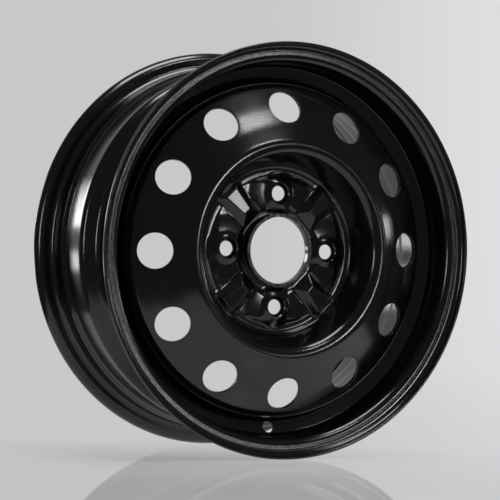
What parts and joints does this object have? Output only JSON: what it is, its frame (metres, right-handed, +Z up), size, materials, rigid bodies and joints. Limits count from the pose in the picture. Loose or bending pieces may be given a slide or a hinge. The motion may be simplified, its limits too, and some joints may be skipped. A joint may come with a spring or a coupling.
{
  "type": "steel wheel rim",
  "caption": "Stamped steel car wheel rim: rolled drop-centre hoop with a welded pressed disc, round vents, conical stud holes and a central hub bore, painted black.",
  "frame": {"origin": "centre of the wheel, on the axle line, midway between the two lips", "axes": "+Y along the axle line towards the vehicle, so the outer face looks along -Y; +Z up, with the valve hole at the bottom"},
  "size_m": [0.4148, 0.1712, 0.4146],
  "materials": {
    "black_paint": "satin black"
  },
  "bodies": {
    "root": {"rim": "black_paint", "disc": "black_paint", "weld_beads": "black_paint"}
  },
  "joints": []
}
